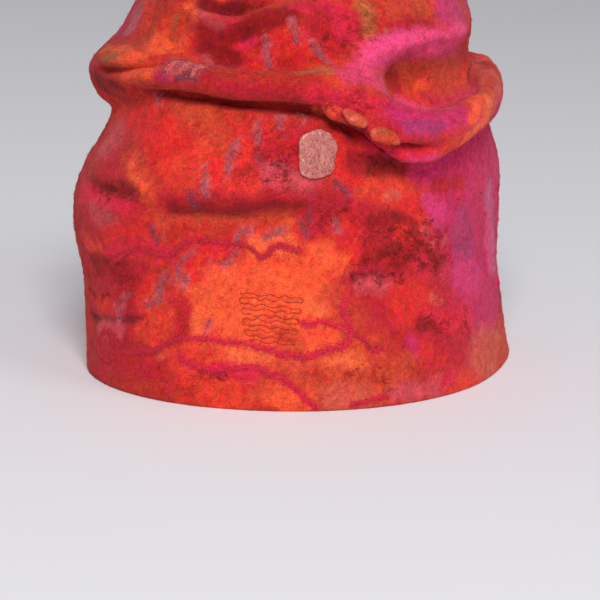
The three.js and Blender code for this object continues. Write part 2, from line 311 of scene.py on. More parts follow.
roundFolds = [
    {"name": "slanting back fold", "depth": -2.6, "width": 5.0, "via": [(176, 60), (196, 74), (218, 80), (240, 96)]},
    {"name": "ridge by the back fold", "depth": 1.8, "width": 5.0, "via": [(180, 72), (200, 86), (222, 92)]},
    {"name": "low back crease", "depth": -1.8, "width": 4.0, "via": [(205, 34), (228, 40), (252, 36)]},
    {"name": "far side crease", "depth": -2.4, "width": 4.0, "via": [(262, 56), (284, 66), (306, 62), (326, 56)]},
    {"name": "far side ridge", "depth": 1.6, "width": 4.5, "via": [(256, 72), (280, 82), (304, 80)]},
    {"name": "crown fold at the back", "depth": -3.8, "width": 4.2, "via": [(186, 150), (204, 164), (226, 170)]},
    {"name": "crown ridge at the back", "depth": 2.4, "width": 4.5, "via": [(180, 160), (198, 175), (222, 182)]},
    {"name": "upright fold at the back", "depth": -2.8, "width": 3.4, "via": [(236, 152), (241, 168), (232, 184)]},
    {"name": "upright fold at the far side", "depth": -2.8, "width": 3.4, "via": [(310, 154), (306, 170), (314, 184)]},
    {"name": "back wrinkle", "depth": -1.6, "width": 2.4, "via": [(190, 96), (206, 92), (222, 99), (240, 94)]},
    {"name": "far side wrinkle", "depth": -1.6, "width": 2.4, "via": [(256, 100), (274, 94), (292, 99), (308, 95)]},
    {"name": "crown fold at the far side", "depth": -3.2, "width": 4.5, "via": [(250, 158), (272, 170), (300, 166)]},
    {"name": "crown ridge at the far side", "depth": 2.2, "width": 4.5, "via": [(246, 168), (270, 180), (296, 178)]},
    {"name": "crown fold at the front", "depth": -2.4, "width": 4.0, "via": [(326, 164), (344, 174), (2, 170)]},
    {"name": "tuck in the back cowl", "depth": -2.6, "width": 3.0, "via": [(196, 124), (214, 128), (236, 130)]},
    {"name": "tuck in the far cowl", "depth": -2.4, "width": 3.0, "via": [(276, 132), (296, 134), (318, 130)]},
]
topFolds = [
    {"name": "top pleat", "depth": -4.5, "width": 5.0, "via": [(-44, -18), (-22, -8), (2, -2), (20, 12)]},
    {"name": "top pleat across", "depth": -3.5, "width": 4.5, "via": [(-20, 40), (-6, 20), (6, 2), (10, -24), (24, -44)]},
    {"name": "top ridge", "depth": 3.0, "width": 7.0, "via": [(-34, 14), (-14, 14), (-2, 34)]},
    {"name": "second top ridge", "depth": 2.6, "width": 7.0, "via": [(18, -10), (30, 8), (26, 34)]},
    {"name": "front top dip", "depth": -3.0, "width": 6.0, "via": [(-16, -58), (4, -44), (26, -52)]},
]


def lookUnder(tree, pixel):
    place, normal, face, far = tree.ray_cast(eye, rayThrough(pixel))
    return place, normal


def lookRound(tree, spot):
    turn = math.radians(spot[0])
    out = Vector((math.sin(turn), -math.cos(turn), 0))
    place, normal, face, far = tree.ray_cast(out * 0.3 + Vector((0, 0, spot[1] * mm)), -out)
    return place, normal


def lookDown(tree, spot):
    place, normal, face, far = tree.ray_cast(Vector((spot[0] * mm, spot[1] * mm, 0.3)), Vector((0, 0, -1)))
    return place, normal


def routeOn(tree, spots, look, step=0.8):
    found = [look(tree, spot) for spot in spots]
    corners = np.array([place for place, normal in found if place is not None])
    if len(corners) < 2:
        return corners
    ends = np.vstack([2 * corners[0] - corners[1], corners, 2 * corners[-1] - corners[-2]])
    route = []
    for a, b, c, d in zip(ends, ends[1:], ends[2:], ends[3:]):
        pieces = max(2, int(np.linalg.norm(c - b) / (step * mm)))
        for t in np.arange(pieces) / pieces:
            curve = 2 * b + (c - a) * t + (2 * a - 5 * b + 4 * c - d) * t * t + (3 * b - a - 3 * c + d) * t ** 3
            route.append(curve / 2)
    route.append(corners[-1])
    return np.array(route)


def nearness(places, route, reach):        # the gap from each place to the route, and how far along it, 0 to 1
    low = route.min(0) - reach
    high = route.max(0) + reach
    near = np.flatnonzero(((places > low) & (places < high)).all(1))
    if not len(near):
        return near, near, near
    gap = np.linalg.norm(places[near][:, None, :] - route[None, :, :], axis=2)
    best = gap.argmin(1)
    return near, gap[np.arange(len(near)), best], best / max(1, len(route) - 1)


def pressFolds(places, normals, tree, folds, look):
    moved = np.zeros((len(places), 3))
    for fold in folds:
        route = routeOn(tree, fold["via"], look)
        if not len(route):
            continue
        width = fold["width"] * mm
        near, gap, along = nearness(places, route, 3 * width)
        ends = fade(np.minimum(along, 1 - along) / 0.25) if len(route) > 6 else 1
        share = np.exp(-(gap / width) ** 2) * (0.25 + 0.75 * ends)
        moved[near] += normals[near] * (fold.get("depth", 0) * mm * share)[:, None]
        moved[near, 2] += fold.get("rise", 0) * mm * share
    return moved


def sculptFelt(outside, inside):
    mesh = outside.data
    before = placesOf(mesh)
    settings = feltSettings
    places = before.copy()
    for folds, look in ((roundFolds, lookRound), (topFolds, lookDown), (photoFolds, lookUnder)):
        tree = BVHTree.FromPolygons(places.tolist(), [face.vertices[:] for face in mesh.polygons])
        setPlaces(mesh, places)
        moves = pressFolds(places, normalsOf(mesh), tree, folds, look)
        steady = fade(places[:, 2] / (6 * mm))[:, None]
        places = places + moves * steady
    setPlaces(mesh, places)
    normals = normalsOf(mesh)
    rough = settings["bigLumps"] * lumps(places, 24 * mm, 1) + settings["lumps"] * lumps(places, 9 * mm, 2)
    rough = rough + settings["pebbles"] * lumps(places, 3.6 * mm, 3)
    steady = fade(places[:, 2] / (4 * mm))
    places = places + normals * (rough * steady * mm)[:, None]
    setPlaces(mesh, places)
    moved = places - before
    tree = KDTree(len(before))
    for index, place in enumerate(before):
        tree.insert(place, index)
    tree.balance()
    inner = placesOf(inside.data)
    follow = np.zeros_like(inner)
    for index, place in enumerate(inner):
        nearest = tree.find_n(place, 4)
        follow[index] = moved[[found[1] for found in nearest]].mean(0)
    follow = relaxed(follow, edgesOf(inside.data), 2)
    follow[:, 2] = np.where(inner[:, 2] < 0.2 * mm, 0, follow[:, 2])
    setPlaces(inside.data, inner + follow)
    return tree, moved


def closeRim(outside, inside):      # the cut edge at the bottom: rounded corners, and slightly wavy
    for shell in (outside, inside):
        places = placesOf(shell.data)
        atRim = places[:, 2] < 0.2 * mm
        places[atRim, 2] = 0.9 * mm
        setPlaces(shell.data, places)
    inner = placesOf(inside.data)
    loop = inner[np.abs(inner[:, 2] - 0.9 * mm) < 0.01 * mm]
    for share, height in ((0.16, 0.28), (0.42, 0.0), (0.6, 0.0), (0.86, 0.28)):
        alone(outside)
        mesh = outside.data
        if share == 0.16:
            places = placesOf(mesh)
            edge = np.abs(places[:, 2] - 0.9 * mm) < 0.01 * mm
            start = {tuple(np.round(place[:2], 7)): place for place in places[edge]}
            starts = np.array(list(start.values()))
            gaps = np.linalg.norm(starts[:, None, :2] - loop[None, :, :2], axis=2)
            ends = loop[gaps.argmin(1)]
            previous = starts.copy()
            bpy.ops.object.mode_set(mode="EDIT")
            bpy.ops.mesh.select_mode(type="VERT")
            bpy.ops.mesh.select_all(action="DESELECT")
            bpy.ops.mesh.select_non_manifold()
        else:
            bpy.ops.object.mode_set(mode="EDIT")
        bpy.ops.mesh.extrude_region_move()
        bpy.ops.object.mode_set(mode="OBJECT")
        mesh = outside.data
        chosen = np.empty(len(mesh.vertices), bool)
        mesh.vertices.foreach_get("select", chosen)
        places = placesOf(mesh)
        gaps = np.linalg.norm(places[chosen][:, None, :2] - previous[None, :, :2], axis=2)
        match = gaps.argmin(1)
        ring = starts + (ends - starts) * share
        ring[:, 2] = height * mm
        places[chosen] = ring[match]
        setPlaces(mesh, places)
        previous = ring
    bpy.ops.object.select_all(action="DESELECT")
    inside.select_set(True)
    outside.select_set(True)
    bpy.context.view_layer.objects.active = outside
    bpy.ops.object.join()
    felt = bpy.context.object
    bpy.ops.object.mode_set(mode="EDIT")
    bpy.ops.mesh.select_mode(type="EDGE")
    bpy.ops.mesh.select_all(action="DESELECT")
    bpy.ops.mesh.select_non_manifold()
    bpy.ops.mesh.bridge_edge_loops()
    bpy.ops.mesh.select_all(action="SELECT")
    bpy.ops.mesh.normals_make_consistent(inside=False)
    bpy.ops.object.mode_set(mode="OBJECT")
    bpy.ops.object.shade_smooth()
    felt.name = "felt_body_wool"
    return felt


# Dyes laid on the felt, from the broad fields to the small marks, with some dark dabs as painted shade in creases,
# tucks and under folds and a few light ones as painted highlight and sheen. Width is a radius in mm.
photoDabs = [
    ("crimson", 20, [(96, 150), (96, 260), (100, 350)]), ("brick", 24, [(170, 130), (250, 130)]),
    ("orange", 20, [(220, 304), (288, 300)]), ("rust", 14, [(310, 332), (345, 325), (370, 345)]),
    ("orange", 8, [(304, 312), (322, 334)]),
    ("magenta", 30, [(470, 150), (475, 220), (480, 290)]), ("crimson", 20, [(385, 240), (400, 300), (440, 330)]),
    ("coral", 11, [(300, 384), (340, 386), (370, 388)]), ("rust", 10, [(250, 378), (400, 384)]), ("coral", 10, [(480, 352), (500, 345), (490, 370)]),
    ("crimson", 12, [(110, 370), (150, 380)]), ("scarlet", 9, [(112, 110), (130, 106), (146, 112)]),
    ("rose", 9, [(90, 140), (104, 150), (112, 140)]), ("crimson", 8, [(84, 170), (100, 172), (112, 165)]),
    ("rust", 7.5, [(186, 108), (206, 120), (212, 140)]), ("tomato", 6, [(200, 150), (212, 170)]),
    ("rust", 6, [(132, 158), (138, 176), (150, 192)]), ("orange", 2.6, [(131, 166), (136, 178), (144, 188)]), ("scarlet", 11, [(158, 138), (164, 146)]),
    ("tomato", 7, [(172, 168), (184, 178)]), ("scarlet", 6, [(150, 130), (160, 128)]), ("blood", 0.9, [(129, 144), (133, 154), (144, 161), (158, 162)]),
    ("brick", 1.2, [(130, 134), (138, 121), (152, 115), (168, 118)]),
    ("brick", 6, [(230, 120), (260, 116)]), ("crimson", 9, [(270, 150), (290, 150), (276, 176)]),
    ("rose", 6, [(275, 176), (300, 184), (312, 190)]), ("crimson", 8, [(270, 204), (300, 206), (340, 200)]),
    ("tomato", 6, [(232, 186), (250, 192)]), ("scarlet", 2.6, [(240, 134), (244, 150), (238, 160)]),
    ("scarlet", 2.4, [(215, 168), (217, 182)]), ("scarlet", 2.4, [(266, 122), (270, 134)]),
    # painted shade, over the wool's own dark red: the blood and maroon dabs along the front crease
    ("blood", 4.5, [(92, 184), (108, 188), (130, 192)]), ("maroon", 1.2, [(96, 188), (120, 190)]),
    ("cherry", 4, [(82, 192), (100, 200), (124, 205)]), ("rose", 5, [(94, 214), (112, 222)]),
    ("scarlet", 5.5, [(108, 236), (130, 232), (150, 230)]), ("tomato", 4.5, [(86, 240), (98, 250)]),
    ("cherry", 4, [(112, 250), (140, 248), (168, 254)]), ("crimson", 9, [(100, 276), (126, 280)]),
    # painted shade, over the wool's own deep red: the crimson and blood dabs along the long crease under the brow
    ("blood", 5, [(96, 262), (124, 268)]), ("crimson", 7, [(170, 205), (210, 208), (250, 206)]), ("blood", 4.2, [(176, 207), (215, 210), (250, 209), (296, 206)]),
    ("rust", 6, [(165, 226), (200, 228), (250, 224), (285, 222)]), ("brick", 4, [(176, 233), (204, 234), (232, 230)]),
    ("scarlet", 5, [(195, 244), (215, 254), (232, 246)]), ("scarlet", 4, [(250, 238), (262, 236)]),
    ("tangerine", 4, [(256, 246), (290, 244)]), ("scarlet", 4.5, [(186, 262), (192, 276)]),
    ("scarlet", 4, [(150, 284), (144, 298)]), ("tomato", 7, [(150, 312), (175, 316)]),
    # painted shade: the maroon dab along the crease over the lower front
    ("scarlet", 4, [(100, 306), (112, 308)]), ("maroon", 2.4, [(92, 314), (112, 320), (136, 318)]),
    ("rose", 4, [(100, 326), (118, 330)]), ("tomato", 5, [(142, 330), (160, 340)]),
    ("crimson", 4, [(176, 300), (184, 316), (180, 334)]), ("tangerine", 3, [(196, 318), (200, 330)]),
    ("tangerine", 3, [(306, 300), (322, 312)]),
    ("tangerine", 5, [(230, 356), (266, 358)]), ("tomato", 6, [(190, 362), (220, 368)]),
    ("cherry", 4, [(220, 372), (250, 374)]), ("brick", 4, [(110, 380), (150, 388), (190, 394)]),
    ("coral", 1.8, [(160, 359)]), ("tomato", 6, [(210, 390), (240, 396)]),
    ("orange", 6, [(280, 398), (300, 404)]), ("coral", 6, [(330, 398), (360, 396)]),
    ("rust", 6, [(330, 368), (370, 374), (410, 366)]), ("tangerine", 3, [(330, 362), (360, 362)]),
    ("crimson", 7, [(350, 200), (330, 214), (316, 222)]), ("tomato", 6, [(362, 184), (392, 192), (408, 190)]),
    ("scarlet", 5, [(340, 140), (344, 160), (352, 174)]), ("scarlet", 5, [(400, 206), (416, 212)]),
    # painted shade: the blood dab under the cowl's hanging lip
    ("coral", 2, [(388, 194), (398, 194)]), ("blood", 5.5, [(356, 160), (374, 162), (400, 166)]),
    ("scarlet", 6, [(346, 232), (350, 254)]), ("orange", 5, [(320, 250), (340, 262)]),
    ("blood", 3.5, [(372, 222), (396, 218), (412, 228)]), ("blood", 3.5, [(366, 258), (390, 252), (404, 262)]),
    ("blood", 3, [(424, 250), (440, 262)]), ("blood", 2, [(390, 266), (404, 260), (416, 250)]),
    ("scarlet", 3.5, [(400, 232), (408, 238)]), ("rose", 2.4, [(424, 232), (432, 240)]),
    # painted shade: the maroon dab in the dark dent
    ("rose", 2, [(444, 238)]), ("cherry", 4, [(420, 262), (424, 272)]), ("maroon", 1.6, [(348, 278), (372, 276), (402, 281)]),
    ("rose", 3.4, [(360, 287), (390, 286)]), ("scarlet", 8, [(400, 296), (420, 300), (404, 310)]),
    ("coral", 2, [(432, 298), (440, 302)]), ("cherry", 7, [(430, 318), (450, 326), (466, 322)]),
    ("blood", 3, [(420, 322), (436, 330)]), ("magenta", 4, [(412, 342), (420, 350)]),
    ("scarlet", 5, [(424, 350), (440, 352)]), ("crimson", 5, [(440, 344), (460, 344)]),
    ("rose", 5, [(400, 392), (440, 388)]), ("cherry", 3, [(444, 386), (454, 378)]),
    ("violet", 7, [(458, 232), (466, 248), (462, 220)]), ("fuchsia", 7, [(460, 272), (474, 280)]),
    # painted sheen: the dusk dab lays a pale lilac cast along the right edge, over the magenta wool
    ("fuchsia", 5, [(430, 200), (440, 216)]), ("duskSheen", 6.5, [(490, 190), (492, 220), (492, 262)]), ("pink", 2.2, [(488, 220), (489, 270)]),
    ("pink", 2, [(496, 240), (500, 290)]), ("magenta", 7, [(420, 170), (450, 165)]),
    ("crimson", 4, [(436, 186), (460, 182)]), ("rust", 7, [(500, 360), (506, 345)]),
    ("magenta", 5, [(134, 6), (126, 22), (118, 34)]), ("mauve", 5, [(138, 10), (132, 26)]),
    ("brick", 6, [(162, 10), (158, 30)]), ("rust", 8, [(108, 52), (130, 48), (150, 44)]), ("orange", 3.4, [(104, 48), (128, 54), (160, 50)]),
    ("orange", 6, [(160, 44), (178, 44)]), ("olive", 2, [(106, 56), (118, 54)]),
    ("orange", 5, [(130, 72), (148, 72)]), ("magenta", 3, [(158, 76), (166, 77)]),
    # painted shade: the blood dab on the underside of the left lobe
    ("blood", 6, [(100, 82), (116, 88)]), ("brick", 5, [(118, 96), (140, 98)]), ("rust", 3.2, [(172, 36), (178, 20), (184, 8)]),
    ("olive", 1.2, [(172, 34), (177, 12)]), ("orange", 3, [(189, 6), (194, 18)]),
    ("blood", 8, [(212, 44), (236, 50), (250, 44)]), ("scarlet", 8, [(280, 50), (310, 50), (326, 44)]),
    # painted shade: the maroon dab in the hollow above the swag; painted highlight: the rose dab along the swag's lit
    # crest
    ("maroon", 5, [(206, 6), (222, 12), (236, 8)]), ("rose", 3, [(202, 16), (216, 24)]),
    ("blood", 5, [(246, 28), (270, 20), (294, 10)]), ("cherry", 2.8, [(290, 6), (310, 6), (345, 14)]),
    ("scarlet", 5, [(250, 58), (256, 62)]), ("blood", 5, [(214, 50), (234, 58)]),
    # painted shade: the blood dab under the roll and the maroon dab in the tuck between the cowl's layers
    ("blood", 2.4, [(150, 92), (206, 101), (250, 107), (312, 112), (336, 121)]),
    ("maroon", 1.2, [(346, 124), (366, 132), (390, 142), (408, 146)]), ("cherry", 2.6, [(240, 46), (252, 44)]),
    ("crimson", 7, [(320, 24), (340, 34), (350, 30)]), ("cherry", 5, [(338, 14), (346, 30)]),
    ("ochre", 4, [(364, 8), (368, 26), (372, 42)]), ("rust", 7, [(392, 6), (420, 8)]),
    ("crimson", 5, [(404, 28), (430, 28)]), ("olive", 1.8, [(388, 32), (396, 34)]),
    ("fuchsia", 8, [(446, 8), (462, 14)]), ("fuchsia", 7, [(384, 50), (420, 48), (458, 44)]),
    # the petal dab is the ridge's own pink, brightened as a painted highlight along the pink ridge
    ("petalHighlight", 6.5, [(372, 54), (400, 46), (440, 42), (464, 34)]), ("rust", 9, [(412, 74), (440, 76), (456, 72)]), ("orange", 3.4, [(412, 84), (424, 84)]),
    ("rust", 5, [(398, 70), (406, 84)]), ("crimson", 2.4, [(388, 70), (398, 90)]),
    ("brick", 9, [(206, 86), (250, 88), (300, 88)]), ("crimson", 4, [(220, 90), (260, 92), (300, 94)]), ("rose", 2.6, [(206, 58), (216, 66)]),
    ("rose", 4.0, [(168, 68), (182, 64), (200, 68)]), ("plum", 2.2, [(180, 77), (194, 78)]),
    ("crimson", 3, [(204, 72), (212, 80)]), ("ochre", 3, [(300, 72), (318, 70), (330, 72)]),
    ("pink", 6, [(350, 74), (366, 73), (382, 85)]), ("cherry", 4.5, [(316, 97), (344, 100), (376, 104)]),
    ("orange", 3.5, [(316, 108), (332, 112)]), ("magenta", 8, [(400, 110), (430, 118), (456, 112)]),
    ("pink", 3.6, [(398, 100), (420, 108), (450, 108)]), ("violet", 3.6, [(410, 128), (440, 126)]),
    ("coral", 7, [(486, 60), (494, 84), (488, 110)]), ("rust", 3, [(494, 78), (484, 104)]), ("crimson", 3.6, [(484, 62), (492, 68)]),
    ("tangerine", 3, [(490, 100), (482, 124), (464, 142)]), ("orange", 4, [(474, 96), (472, 118)]),
    ("cherry", 4.5, [(362, 142), (390, 151), (424, 156)]), ("fuchsia", 1.8, [(362, 141), (384, 151), (412, 160), (440, 155)]),
    # painted shade: the crimson dab in the tuck between the cowl's layers, right of the lower nub
    ("scarlet", 3, [(352, 138), (360, 144)]), ("crimson", 3, [(412, 144), (440, 144)]),
]
roundDabs = [
    ("magenta", 20, [(140, 30), (150, 70), (146, 110)]), ("orange", 20, [(185, 26), (205, 40), (222, 26)]),
    ("crimson", 22, [(180, 90), (205, 100), (226, 90)]), ("magenta", 20, [(250, 50), (262, 84)]),
    ("orange", 20, [(286, 30), (306, 46)]), ("crimson", 18, [(318, 76), (326, 108)]),
    ("scarlet", 13, [(276, 100), (292, 104)]), ("orange", 11, [(246, 118), (262, 112)]),
    ("tangerine", 12, [(200, 160), (226, 150)]), ("crimson", 16, [(262, 165), (292, 160)]),
    ("magenta", 12, [(160, 165), (176, 150)]), ("scarlet", 12, [(318, 160), (340, 156)]),
    ("tomato", 12, [(232, 60), (240, 40)]), ("scarlet", 9, [(160, 52), (176, 56)]),
    ("rose", 7, [(210, 66), (222, 74)]), ("blood", 5, [(196, 74), (214, 80)]),
    ("rose", 5, [(268, 62), (288, 66)]), ("fuchsia", 7, [(152, 92), (160, 70)]),
    ("tangerine", 7, [(292, 66), (300, 80)]), ("cherry", 7, [(326, 44), (338, 36)]),
    ("orange", 8, [(326, 14), (344, 12)]), ("blood", 5, [(230, 104), (246, 100)]),
    ("pink", 4, [(176, 20), (190, 12)]), ("mauve", 3, [(200, 52), (206, 58)]),
]
topDabs = [
    ("crimson", 20, [(-30, -30), (0, -40), (30, -30)]), ("orange", 16, [(-30, 20), (-10, 30)]),
    ("magenta", 14, [(20, 20), (34, 0)]), ("scarlet", 12, [(-4, -8), (10, 6)]),
    ("tangerine", 7, [(-36, -8), (-24, 0)]), ("pink", 5, [(10, -30), (24, -20)]),
    ("blood", 4, [(-18, -8), (2, -2)]), ("rose", 3, [(6, 20), (2, 34)]), ("ochre", 5, [(30, 34), (20, 46)]),
]
mauveFlecks = [
    ("mauve", [(259, 122), (260, 132), (257, 143)]), ("mauve", [(280, 116), (280, 131)]),
    ("mauve", [(234, 142), (230, 154), (228, 174)]), ("mauve", [(205, 170), (204, 183)]),
    ("mauve", [(205, 187), (207, 197)]), ("plum", [(190, 195), (195, 207)]), ("mauve", [(236, 242), (240, 233), (250, 229)]),
    ("mauve", [(264, 238), (272, 234), (283, 229)]), ("plum", [(301, 222), (306, 236)]),
    ("mauve", [(217, 263), (228, 262), (237, 252)]), ("mauve", [(178, 270), (184, 260), (191, 252)]),
    ("mauve", [(178, 279), (189, 281)]), ("mauve", [(158, 294), (162, 284), (167, 275)]),
    ("mauve", [(146, 307), (154, 303), (162, 298)]), ("mauve", [(117, 303), (123, 298), (131, 294)]),
    ("mauve", [(120, 304), (119, 318)]), ("plum", [(152, 230), (158, 243)]), ("mauve", [(207, 328), (210, 318)]),
    ("plum", [(334, 180), (346, 193)]), ("plum", [(310, 214), (308, 226)]), ("mauve", [(333, 216), (340, 230)]),
    ("plum", [(339, 126), (349, 138)]), ("mauve", [(265, 34), (267, 50), (269, 67)]), ("mauve", [(293, 22), (297, 42)]),
    ("mauve", [(312, 42), (322, 58), (331, 64)]), ("mauve", [(158, 106), (158, 101), (156, 96)]),
    ("plum", [(256, 154), (262, 160)]), ("plum", [(272, 164), (280, 164)]), ("mauve", [(296, 112), (306, 118)]),
]
hiddenFlecks = [
    ("mauve", [(168, 60), (172, 66)]), ("mauve", [(190, 84), (191, 92)]), ("plum", [(216, 48), (222, 50)]),
    ("mauve", [(236, 66), (240, 72)]), ("mauve", [(260, 30), (264, 36)]), ("mauve", [(284, 84), (286, 92)]),
    ("plum", [(300, 54), (304, 60)]), ("mauve", [(322, 26), (328, 30)]), ("mauve", [(330, 90), (332, 98)]),
    ("mauve", [(178, 40), (184, 46)]), ("mauve", [(204, 96), (205, 106)]), ("mauve", [(228, 88), (229, 98)]),
    ("mauve", [(252, 94), (254, 104)]), ("plum", [(246, 52), (250, 58)]), ("mauve", [(270, 66), (275, 70)]),
    ("mauve", [(312, 84), (313, 94)]), ("mauve", [(212, 156), (214, 168)]), ("mauve", [(240, 160), (241, 172)]),
    ("mauve", [(284, 158), (285, 170)]), ("plum", [(316, 160), (318, 168)]), ("mauve", [(184, 152), (186, 162)]),
]
yarns = [
    ("yarn", 1.5, [(302, 321), (309, 325), (322, 321), (334, 325), (344, 329), (350, 331)]),
    ("yarn", 1.8, [(347, 295), (342, 310), (348, 321), (351, 334), (346, 345), (334, 348), (318, 353), (306, 358),
                   (294, 354), (282, 355), (270, 350), (260, 348), (242, 343), (226, 342), (210, 339), (178, 339)]),
    ("cherry", 1.1, [(353, 333), (362, 339), (372, 350), (384, 348)]),
    ("yarn", 1.7, [(178, 358), (196, 366), (216, 370), (240, 368), (256, 367), (268, 373), (284, 380), (294, 388),
                   (301, 394), (310, 404), (318, 408)]),
    ("yarn", 1.0, [(350, 405), (375, 399), (388, 396)]),
    ("cherry", 1.2, [(111, 263), (138, 249), (166, 256), (192, 240), (225, 243), (240, 244), (252, 249), (261, 258),
                     (270, 252), (278, 246), (300, 250)]),
    ("cherry", 0.9, [(104, 332), (113, 334), (117, 345), (113, 358), (104, 360), (99, 350), (100, 338), (104, 332)]),
    ("cherry", 1.0, [(122, 352), (150, 352), (176, 340)]),
]
curls = [
    ("rose", 0.9, [(164, 74), (164, 66), (170, 61), (178, 60)]), ("blush", 0.5, [(168, 73), (169, 67), (174, 63), (180, 62)]),
    ("mauve", 0.9, [(174, 76), (176, 69), (182, 64), (190, 63)]), ("blush", 0.4, [(180, 74), (182, 68), (187, 64), (192, 64)]),
    ("mauve", 0.9, [(186, 78), (188, 71), (194, 66), (202, 66)]), ("blush", 0.35, [(192, 77), (194, 71), (199, 67), (204, 68)]),
    ("rose", 0.9, [(196, 80), (199, 73), (206, 69), (214, 70)]), ("plum", 1.0, [(176, 79), (184, 77), (196, 79)]),
]
scribbles = [      # dyes, middle, half size in pixels, strokes
    (("blood", "crimson", "maroon", "scarlet", "blood", "crimson", "scarlet", "cherry"), (398, 244), (46, 30), 100),
    (("blood", "maroon"), (376, 278), (24, 2), 8), (("crimson", "crimson", "cherry"), (348, 104), (40, 8), 30),
    (("blood", "crimson", "scarlet", "blood"), (270, 162), (34, 34), 40), (("maroon", "blood"), (374, 162), (24, 9), 12),
    (("blood", "crimson", "scarlet"), (112, 276), (28, 22), 24), (("crimson", "scarlet", "blood"), (320, 216), (26, 14), 16),
    (("blood", "crimson"), (112, 190), (26, 10), 14), (("crimson", "cherry", "blood"), (440, 322), (26, 18), 20),
    (("blood", "crimson"), (330, 30), (26, 18), 14), (("olive", "rust"), (366, 22), (8, 20), 10),
    (("crimson", "blood"), (204, 378), (22, 3), 8), (("crimson", "rust"), (360, 376), (60, 14), 18),
]
hiddenScribbles = [      # the same, in degrees and mm
    (("blood", "crimson", "scarlet", "crimson"), (206, 78), (18, 16), 60),
    (("crimson", "cherry", "blood"), (252, 84), (16, 14), 50), (("blood", "crimson", "rust"), (296, 74), (18, 16), 60),
    (("crimson", "scarlet", "blood"), (232, 34), (20, 12), 40), (("crimson", "blood"), (320, 60), (10, 14), 30),
    (("crimson", "cherry", "scarlet"), (200, 164), (18, 12), 40), (("blood", "crimson"), (268, 166), (18, 12), 40),
    (("crimson", "magenta", "cherry"), (160, 80), (10, 18), 30),
]
hiddenYarns = [
    ("cherry", 1.1, [(150, 40), (166, 34), (180, 42), (196, 30), (214, 36), (228, 24), (246, 28)]),
    ("magenta", 1.0, [(200, 60), (216, 56), (228, 66), (244, 60), (256, 70)]),
    ("cherry", 1.1, [(252, 20), (270, 30), (286, 22), (300, 34), (318, 28), (332, 40)]),
    ("tangerine", 0.9, [(256, 92), (268, 100), (282, 92), (296, 98)]),
]
# the last setting is how much painted shade darkens the felt near the crown
feltPaint = {"warp": 2.4, "warpSize": 9.0, "fineWarp": 1.0, "fineWarpSize": 3.2, "mottle": 0.16, "upper": 0.14}


def layDabs(places, colours, tree, dabs, look, opacity=0.9, patchy=0):
    for tone, width, spots in dabs:
        reach = 1.5 * width * mm
        if len(spots) == 1:
            place, normal = look(tree, spots[0])
            route = np.array([place]) if place is not None else np.zeros((0, 3))
        else:
            route = routeOn(tree, spots, look, 1.5)
        if not len(route):
            continue
        near, gap, along = nearness(places, route, reach)
        share = opacity * fade((1.45 * width * mm - gap) / (0.9 * width * mm))
        if patchy and len(near):
            share = share * fade(lumps(places[near], patchy * mm, 23) / 0.35 + 0.5)
        colours[near] += share[:, None] * (linearTone(tone) - colours[near])


def paintFelt(felt, tree):
    places = placesOf(felt.data)
    settings = feltPaint
    warped = places + settings["warp"] * mm * drift(places, settings["warpSize"] * mm, 4)
    warped = warped + settings["fineWarp"] * mm * drift(places, settings["fineWarpSize"] * mm, 5)
    base = fade(lumps(places, 30 * mm, 6) * 1.6 + 0.5)[:, None]
    colours = linearTone("tomato") * base + linearTone("crimson") * (1 - base)
    second = 0.6 * fade(lumps(places, 15 * mm, 20) * 2.0 + 0.3)[:, None]
    colours += second * (linearTone("brick") - colours)
    layDabs(warped, colours, tree, roundDabs, lookRound)
    layDabs(warped, colours, tree, topDabs, lookDown)
    layDabs(warped, colours, tree, photoDabs, lookUnder)
    marks = [(tone, 0.75 * halfWidth, spots) for tone, halfWidth, spots in yarns]
    layDabs(warped, colours, tree, marks, lookUnder, 0.6)
    marks = [(tone, 2.3, spots) for tone, spots in mauveFlecks]
    layDabs(warped, colours, tree, marks, lookUnder, 0.85, 2.4)
    marks = [(tone, 2.3, spots) for tone, spots in hiddenFlecks]
    layDabs(warped, colours, tree, marks, lookRound, 0.8, 2.4)
    marks = [(tone, 0.75 * halfWidth, spots) for tone, halfWidth, spots in hiddenYarns]
    layDabs(warped, colours, tree, marks, lookRound, 0.6)
    for tone, size, seed, cover, share in (("scarlet", 6, 7, 0.12, 0.16), ("blood", 5, 8, 0.16, 0.16),
                                          ("blood", 3, 19, 0.12, 0.16), ("magenta", 5.5, 10, 0.22, 0.06)):
        spread = share * fade((lumps(places, size * mm, seed) - cover) / 0.22)
        colours += spread[:, None] * (linearTone(tone) - colours)
    colours *= 1 + settings["mottle"] * lumps(places, 2.6 * mm, 11)[:, None]
    # painted shade: the felt is darkened above about 118 mm, towards the crown
    colours *= 1 - settings["upper"] * fade((places[:, 2] - 118 * mm) / (30 * mm))[:, None]
    return np.clip(colours, 0.002, 1)


def keepColours(mesh, colours):
    layer = mesh.color_attributes.new("wool", "FLOAT_COLOR", "POINT")
    full = np.ones((len(mesh.vertices), 4))
    full[:, :3] = colours
    layer.data.foreach_set("color", full.ravel())


# Materials: one mottling group for all the wool
def link(tree, start, end):
    tree.links.new(start, end)


